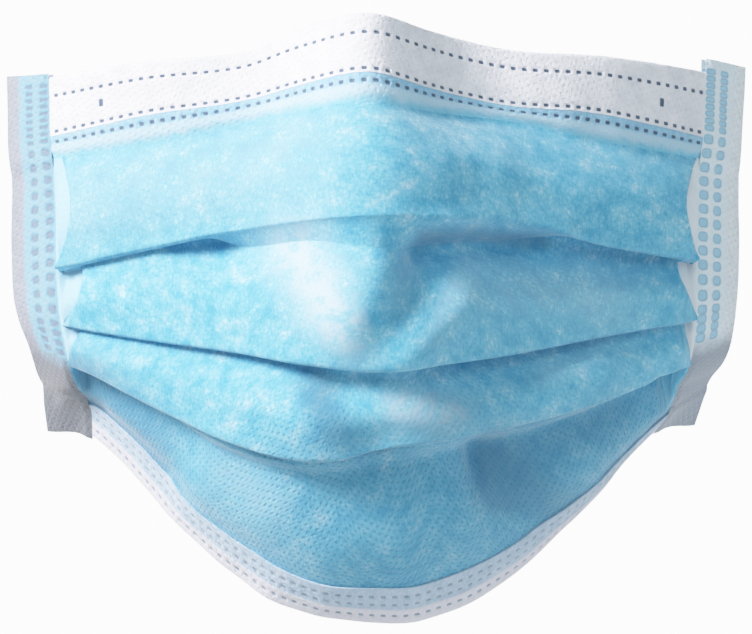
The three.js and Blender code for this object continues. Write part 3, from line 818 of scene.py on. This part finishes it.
def foldPath(fold):
    # out over the lip, back along the hidden length and round again
    radius = sheet["foldRadius"]
    angle, tuck = fold["angle"], fold["tuck"]
    lipReach = radius * np.sin(np.minimum(angle, math.pi / 2))
    path = []

    def add(down, rise, lean):
        path.append((fold["drop"] + (down - lipReach) / fold["scale"], fold["depth"] / 2 + rise, lean))

    for i in range(body["bendSteps"] + 1):
        turn = angle * i / body["bendSteps"]
        add(radius * np.sin(turn), -radius * (1 - np.cos(turn)), turn)
    lipDown = radius * np.sin(angle)
    lipRise = -radius * (1 - np.cos(angle))
    for i in range(1, body["tuckSteps"]):
        part = tuck * i / body["tuckSteps"]
        add(lipDown + part * np.cos(angle), lipRise - part * np.sin(angle), angle)
    tuckDown = lipDown + tuck * np.cos(angle)
    tuckRise = lipRise - tuck * np.sin(angle)
    for i in range(body["bendSteps"] + 1):
        turn = angle * (1 - i / body["bendSteps"])
        down = tuckDown + radius * (np.sin(angle) - np.sin(turn))
        add(down, tuckRise - radius * (np.cos(turn) - np.cos(angle)), turn)
    return path


def bodyPath(share):
    # the way down the whole cloth, panel by panel and through the pleat below each of them
    folds = {name: foldSizes(name, share) for name in pleats}
    path = []
    zero = np.zeros(share.shape)
    thickness = sheet["bodyThickness"]
    for panel in panels:
        above = folds.get(panel["from"])
        below = folds.get(panel["to"])
        startDrop, startRise = zero + sheetLines[panel["from"]]["drop"], zero
        endDrop, endRise = zero + sheetLines[panel["to"]]["drop"], zero
        if above:
            startDrop, startRise = foldPath(above)[-1][:2]
        if below:
            endDrop, endRise = foldPath(below)[0][:2]
        middle = (startDrop + endDrop) / 2
        coveredTo = startDrop
        tuckedFrom = endDrop
        if above:
            justBelow = np.minimum(above["drop"] + thickness / above["scale"], middle)
            coveredTo = np.maximum(startDrop + thickness / above["scale"], justBelow)
        if below:
            tuckedFrom = np.maximum(below["drop"] - below["reach"] / below["scale"], middle)
        marks = []
        if above:
            marks += [startDrop + (coveredTo - startDrop) * i / body["coveredRows"]
                      for i in range(1, body["coveredRows"])]
        firstRow = 0 if above or not path else 1
        marks += [coveredTo + (tuckedFrom - coveredTo) * i / panel["rows"]
                  for i in range(firstRow, panel["rows"] + 1)]
        if below:
            marks += [tuckedFrom + (endDrop - tuckedFrom) * i / body["frontRows"]
                      for i in range(1, body["frontRows"])]
        for drop in marks:
            step = body["slopeStep"]
            climb = [smoothStep(coveredTo, tuckedFrom, drop + away) for away in (-step, 0, step)]
            slope = (endRise - startRise) * (climb[2] - climb[0]) / (2 * step)
            rise = startRise + (endRise - startRise) * climb[1]
            path.append((drop, rise, -np.arctan(slope / downScale(share, drop))))
        if below:
            path += foldPath(below)
    drop, rise, lean = (np.stack(column, axis=1) for column in zip(*path))
    # the cloth ends just inside the bends of the hems
    drop[:, 0] = leafOffset / downScale(share, zero)
    drop[:, -1] = lineDrops[-1] - leafOffset / downScale(share, zero + lineDrops[-1])
    return drop, rise, lean


def makeBody():
    firstDistance = leafOffset + sheet["hemThickness"]
    # the columns lie closer beside the tapes, where the panels end
    fineFrom = sheet["tapeWidth"] + body["fineFrom"]
    fineTo = sheet["tapeWidth"] + body["fineTo"]
    side = np.concatenate([
        np.arange(firstDistance, fineFrom, body["columnStep"]),
        np.arange(fineFrom, fineTo, body["fineColumnStep"])])
    middle = np.arange(fineTo, clothWidth - fineTo - body["columnStep"] / 2, body["columnStep"])
    share = np.concatenate([side, middle, clothWidth - side[::-1]]) / clothWidth
    path = bodyPath(share)
    outer, inner = facesOfPath(share[:, None], path, sheet["bodyThickness"])
    lengths = clothLengths((outer + inner) / 2)
    flat = np.stack([np.broadcast_to(share[:, None] * clothWidth, lengths.shape), lengths], axis=-1)
    # the second layer holds the painted highlights and painted shade of each point
    layers = {"pressedFlat": pressedFlat(share[:, None], path[0]), "paintedLightAndShade": paintedLightAndShade(outer)}
    return addCloth("maskBody", outer, inner, flat, [blueCloth, whiteCloth], "mask_body", layers)


maskBody = makeBody()
print("body made")


# Hems, folded round the top and bottom edges of the body, and the strip under the top one

hem = {
    "underTape": 3.0,          # the hems run this far in under the side tapes
    "columnStep": 2.35 / 7,    # seven columns to one weld dash and its gap
    "rowStep": 12.1 / 40,      # the dash rows lie on rows of points
    "backRows": 16,
    "bendSteps": 6,
    "dashPitch": 2.35,
    "dashLength": 1.25,
    "dashHeight": 0.92,
    "dashDepth": 0.22,
    "bendRoom": 1.0,           # the front and back rows stop this short of the edge they bend round
}
weldGrey = "#4d6079"


def hemPath(share, innerDrops, edgeDrop, bendSteps, backDrops):
    # down the front of the body, round its edge and back up behind it
    scale = downScale(share, np.full(share.shape, float(edgeDrop)))
    downward = 1 if edgeDrop > innerDrops[0] else -1
    centre = edgeDrop - downward * (leafOffset + sheet["hemThickness"] / 2) / scale
    zero = np.zeros(share.shape)
    path = [(zero + drop, zero + leafOffset, zero) for drop in innerDrops]
    for i in range(bendSteps + 1):
        turn = math.pi * i / bendSteps
        path.append((
            centre + downward * leafOffset * math.sin(turn) / scale,
            zero + leafOffset * math.cos(turn),
            zero + turn,
        ))
    path += [(zero + drop, zero - leafOffset, zero + math.pi) for drop in backDrops]
    return [np.stack(column, axis=1) for column in zip(*path)], downward


def roundedMark(across, down, width, height, corner=0.15):
    # distance to the edge of a rounded oblong at the origin, negative inside
    x = np.abs(across) - width / 2 + corner
    y = np.abs(down) - height / 2 + corner
    outside = np.hypot(np.maximum(x, 0), np.maximum(y, 0))
    return outside + np.minimum(np.maximum(x, y), 0) - corner


def dashDistance(across, down, row):
    # distance to the nearest dash of a row
    nearest = (across + hem["dashPitch"] / 2) % hem["dashPitch"] - hem["dashPitch"] / 2
    return roundedMark(nearest, down - row, hem["dashLength"], hem["dashHeight"])


def hemShares():
    inner = sheet["tapeWidth"] - hem["underTape"]
    count = int(round((clothWidth - 2 * inner) / hem["columnStep"])) + 1
    return np.linspace(inner, clothWidth - inner, count) / clothWidth


def pressed(outer, inner, weld, depth, thickness):
    # the weld squeezes the cloth, so its outer face sinks towards the inner one
    sink = depth * smoothStep(sheet["weldSlope"], -sheet["weldSlope"], weld)
    return outer + (inner - outer) * (sink / thickness)[..., None]


# The white cloth, folded over a hidden wire whose two ends show as short weld marks.
noseBand = {
    "dashRows": [4.235, 12.1],
    "wireMarks": [0.143, 0.866],    # shares across, where the wire inside ends
    "wireMarkDrop": 7.95,
    "wireMarkWidth": 1.2,
    "wireMarkHeight": 1.9,
}
bandCloth = spunbondMaterial("weldedWhiteSpunbond", whiteSpunbond, weld=weldGrey)


def makeNoseBand():
    share = hemShares()
    low = sheetLines["bandEdge"]["drop"]
    rows = np.arange(low, hem["bendRoom"], -hem["rowStep"])
    backRows = np.linspace(hem["bendRoom"], low, hem["backRows"])
    (drop, rise, lean), downward = hemPath(share, rows, 0, hem["bendSteps"], backRows)
    outer, inner = facesOfPath(share[:, None], (drop, rise, lean), sheet["hemThickness"], downward)
    across = np.broadcast_to(share[:, None] * clothWidth, drop.shape)
    marks = [dashDistance(across, drop, row) for row in noseBand["dashRows"]]
    marks += [
        roundedMark(across - place * clothWidth, drop - noseBand["wireMarkDrop"],
                    noseBand["wireMarkWidth"], noseBand["wireMarkHeight"])
        for place in noseBand["wireMarks"]]
    weld = np.minimum.reduce(marks)
    outer = pressed(outer, inner, weld, hem["dashDepth"], sheet["hemThickness"])
    flat = np.stack([across, clothLengths(outer)], axis=-1)
    return addCloth("noseBand", outer, inner, flat, [bandCloth], "nose_band", {"weldEdge": weld})


noseStrip = {
    "dashRow": 14.5,
    "bandGap": 0.05,
    "bodyGap": 0.02,
    "thinning": 2.2,           # it thins out into the body over this width
    "edgeThickness": 0.03,
}
# the strip shows the blue layer through the thin white one, more so above its row of welds
stripCloth = spunbondMaterial(
    "weldedPaleSpunbond",
    dict(whiteSpunbond, thin="#9ccdee", middle="#8bc1e4", dense="#7cb6de"),
    bands=[
        {"axis": "Y", "start": 14.9, "end": 15.5, "colour": "#b4d8ee", "part": 0.8},
        {"axis": "Y", "start": 16.4, "end": 18.6, "colour": "#76c2e6", "ragged": 3.0, "part": 0.95},
    ], weld=weldGrey)


def makeNoseStrip():
    share = hemShares()
    top = sheetLines["bandEdge"]["drop"] + noseStrip["bandGap"]
    low = sheetLines["stripEdge"]["drop"]
    drops = np.arange(top, low, hem["rowStep"])
    drop = np.broadcast_to(drops, (len(share), len(drops)))
    thinned = smoothStep(low - noseStrip["thinning"], low, drop)
    thickness = sheet["hemThickness"] + (noseStrip["edgeThickness"] - sheet["hemThickness"]) * thinned
    rise = (sheet["bodyThickness"] + thickness) / 2 + noseStrip["bodyGap"] * (1 - thinned)
    outer, inner = facesOfPath(share[:, None], (drop, rise, np.zeros(drop.shape)), thickness)
    across = np.broadcast_to(share[:, None] * clothWidth, drop.shape)
    weld = dashDistance(across, drop, noseStrip["dashRow"])
    outer = pressed(outer, inner, weld, hem["dashDepth"], sheet["hemThickness"])
    flat = np.stack([across, drop], axis=-1)
    return addCloth("noseStrip", outer, inner, flat, [stripCloth], "nose_strip", {"weldEdge": weld})


bottomHem = {
    "dashShares": [0.2, 0.42, 0.74],
    "foldShare": 0.56,         # below this the cloth is doubled and stands out in a ridge
    "foldRise": 0.04,
    "foldFall": 0.15,
    "ridge": 0.22,
    "ridgeEnds": 3.0,          # it fades out this far before the tapes, which lie flat over the ends
    "foldShade": 0.5,
}
hemWidth = sheetLines["bottomEdge"]["drop"] - sheetLines["hemEdge"]["drop"]
foldPlace = bottomHem["foldShare"] * hemWidth
# above its fold the thin hem shows the blue body through, and the doubled part is white
hemCloth = spunbondMaterial(
    "weldedHemSpunbond",
    dict(whiteSpunbond, thin="#b6cde0", middle="#a6c0d8", dense="#94b3cf"),
    bands=[
        {"axis": "Y", "start": foldPlace - bottomHem["foldShade"], "end": foldPlace, "colour": "#d6d8e4"},
    ], weld="#8398ae")


def makeBottomHem():
    share = hemShares()
    high = sheetLines["hemEdge"]["drop"]
    low = sheetLines["bottomEdge"]["drop"]
    rows = np.arange(high, low - hem["bendRoom"], hem["rowStep"])
    backRows = np.linspace(low - hem["bendRoom"], high, hem["backRows"])
    (drop, rise, lean), downward = hemPath(share, rows, low, hem["bendSteps"], backRows)
    outer, inner = facesOfPath(share[:, None], (drop, rise, lean), sheet["hemThickness"], downward)
    across = np.broadcast_to(share[:, None] * clothWidth, drop.shape)
    weld = np.minimum.reduce([
        dashDistance(across, drop, high + part * (low - high)) for part in bottomHem["dashShares"]])
    # the doubled lower part stands proud, with a soft ridge where it begins
    part = (drop - high) / (low - high)
    front = smoothStep(math.pi / 2, 0, lean)
    fold = bottomHem["foldShare"]
    rising = smoothStep(fold - bottomHem["foldRise"], fold, part)
    falling = smoothStep(fold, fold + bottomHem["foldFall"], part)
    ridge = bottomHem["ridge"] * rising * (1 - 0.5 * falling)
    fromTape = distanceFromSide(share)[:, None] - sheet["tapeWidth"]
    ridge = ridge * smoothStep(0, bottomHem["ridgeEnds"], fromTape)
    outer = outer + (outer - inner) * (ridge * front / sheet["hemThickness"])[..., None]
    outer = pressed(outer, inner, weld, hem["dashDepth"], sheet["hemThickness"])
    fromTop = drop - high
    onFront = lean < sheet["frontLean"]
    flat = np.stack([across, np.where(onFront, fromTop, 2 * (low - high) - fromTop)], axis=-1)
    return addCloth("bottomHem", outer, inner, flat, [hemCloth], "bottom_hem", {"weldEdge": weld})


bandPiece = makeNoseBand()
stripPiece = makeNoseStrip()
hemPiece = makeBottomHem()
print("hems made")


# Side tapes, welded round the side edges in two columns of dots

sideTape = {
    "topOverhangs": {"left": 0.7, "right": 2.7},
    "bottomOverhang": 0.8,
    "columnStep": 0.3,
    "rowStep": 0.3,
    "lengthSamples": 400,
    "backRows": 12,
    "backStart": 0.4,
    "bendSteps": 6,
    "dotColumns": [7.1, 11.0],
    "dotWidth": 2.1,
    "dotRounding": 0.38,       # in shares of a dot's height
    "dotRows": [               # the two ends were welded twice, so their dots lie closer
        {"from": 2.6, "to": 15.5, "pitch": 1.5, "height": 1.0},
        {"from": 17.0, "to": 51.0, "pitch": 2.95, "height": 1.75},
        {"from": 52.0, "to": 58.5, "pitch": 1.8, "height": 1.4},
    ],
    "dotDepth": 0.2,
    "landingWidth": 1.6,       # its inner edge thins out and lies down on the body
    "edgeThickness": 0.04,
    "stripClimb": [-1, 3],     # it climbs over the strip and the hem between these, from their edges
    "hemClimb": [-4, -0.5],
    "climbGap": 0.04,
    "bendMiddle": 0.1,         # nearer to the body's middle than this it is the bend, which stays put
}
# the thin tape shows the blue cloth where it is welded, and is greyish where it hangs free; its lower end is
# coloured greyer
tapeLook = dict(
    whiteSpunbond, thin="#9aa1ab", middle="#9298a3", dense="#858b98",
    webColour="#9398a3", bondColour="#8b909c")


def tapeMaterial(name, look, welded, low, weld):
    return spunbondMaterial(name, look, bands=[
        {"axis": "X", "start": 3.4, "end": 4.6, "colour": welded, "ragged": 1.5, "part": 0.85},
        {"axis": "Y", "start": 56, "end": 62, "colour": low, "ragged": 3.0},
    ], weld=weld, rim="#6ba8cc")


# painted light and painted shade: the two tapes are the same cloth, but the left one, which has the light on
# it, is painted greyer, and the right one, which lies in shade, is painted near white with paler welds
leftTapePaintedDarkerCloth = tapeMaterial("leftTapePaintedDarkerSpunbond", tapeLook, "#7fb2d0", "#6c727a", "#6f859c")
rightTapePaintedLighterCloth = tapeMaterial(
    "rightTapePaintedLighterSpunbond", dict(tapeLook, thin="#f4fafe", middle="#edf6fc", dense="#e0edf6"),
    "#e2f2fc", "#8c98a6", "#a2cfea")


def dotMarks(across, along):
    # distance to the edge of the nearest weld dot, negative inside
    marks = []
    for rows in sideTape["dotRows"]:
        places = np.arange(rows["from"], rows["to"], rows["pitch"])
        nearest = np.abs(along[..., None] - places).argmin(axis=-1)
        down = along - places[nearest]
        corner = rows["height"] * sideTape["dotRounding"]
        for column in sideTape["dotColumns"]:
            marks.append(roundedMark(across - column, down, sideTape["dotWidth"], rows["height"], corner))
    return np.minimum.reduce(marks)


def makeSideTape(name, side, node):
    edgeShare = np.array([0.0 if side == "left" else 1.0])
    topDrop = -sideTape["topOverhangs"][side] / downScale(edgeShare, np.array([0.0]))[0]
    bottomDrop = lineDrops[-1] + sideTape["bottomOverhang"] / downScale(edgeShare, lineDrops[-1:])[0]
    thickness = sheet["hemThickness"]
    centre = leafOffset + thickness / 2
    front = np.arange(sheet["tapeWidth"], centre, -sideTape["columnStep"])
    back = np.linspace(centre + sideTape["backStart"], sheet["tapeWidth"], sideTape["backRows"])
    turns = np.linspace(0, math.pi, sideTape["bendSteps"] + 1)
    distance = np.concatenate([front, centre - leafOffset * np.sin(turns), back])
    rise = np.concatenate([front * 0 + leafOffset, leafOffset * np.cos(turns), back * 0 - leafOffset])
    lean = np.concatenate([front * 0, turns, back * 0 + math.pi])
    samples = np.linspace(topDrop, bottomDrop, sideTape["lengthSamples"])
    middleShare = sheet["tapeWidth"] / 2 / clothWidth
    line = basePoint(middleShare if side == "left" else 1 - middleShare, samples)
    lengths = np.concatenate([[0], np.cumsum(np.linalg.norm(np.diff(line, axis=0), axis=1))])
    rows = np.arange(0, lengths[-1], sideTape["rowStep"])
    drop = np.interp(rows, lengths, samples)[:, None]
    # it rises over the hems that run in under it
    stripEdge = sheetLines["stripEdge"]["drop"]
    hemEdge = sheetLines["hemEdge"]["drop"]
    overStrip = 1 - smoothStep(*[stripEdge + part for part in sideTape["stripClimb"]], drop)
    overHem = smoothStep(*[hemEdge + part for part in sideTape["hemClimb"]], drop)
    # and its inner edges lie down on whatever is under them
    landing = smoothStep(sheet["tapeWidth"] - sideTape["landingWidth"], sheet["tapeWidth"], distance)
    leaf = thickness + (sideTape["edgeThickness"] - thickness) * landing
    sunk = landing * (leafOffset - (sheet["bodyThickness"] + sideTape["edgeThickness"]) / 2)
    rise = rise - np.sign(rise) * sunk
    offTheBend = np.abs(rise) > sideTape["bendMiddle"]
    lifted = (overStrip + overHem) * (thickness + sideTape["climbGap"]) * np.sign(rise) * offTheBend

    def faceAt(part):
        half = part * leaf
        fromEdge = distance - np.sin(lean) * half
        share = fromEdge / clothWidth if side == "left" else 1 - fromEdge / clothWidth
        return placePoint(share[None, :], drop, rise[None, :] + lifted + (np.cos(lean) * half)[None, :])

    outer = faceAt(0.5)
    inner = faceAt(-0.5)
    along = np.broadcast_to(rows[:, None], outer.shape[:2])
    across = np.broadcast_to(distance, along.shape)
    weld = dotMarks(across, along)
    outer = pressed(outer, inner, weld, sideTape["dotDepth"], thickness)
    flat = np.stack([np.where(lean < sheet["frontLean"], across, -across), along], axis=-1)
    cloth = leftTapePaintedDarkerCloth if side == "left" else rightTapePaintedLighterCloth
    return addCloth(name, outer, inner, flat, [cloth], node, {"weldEdge": weld})


leftTape = makeSideTape("sideTapeLeft", "left", "side_tape_left")
rightTape = makeSideTape("sideTapeRight", "right", "side_tape_right")
print("tapes made")
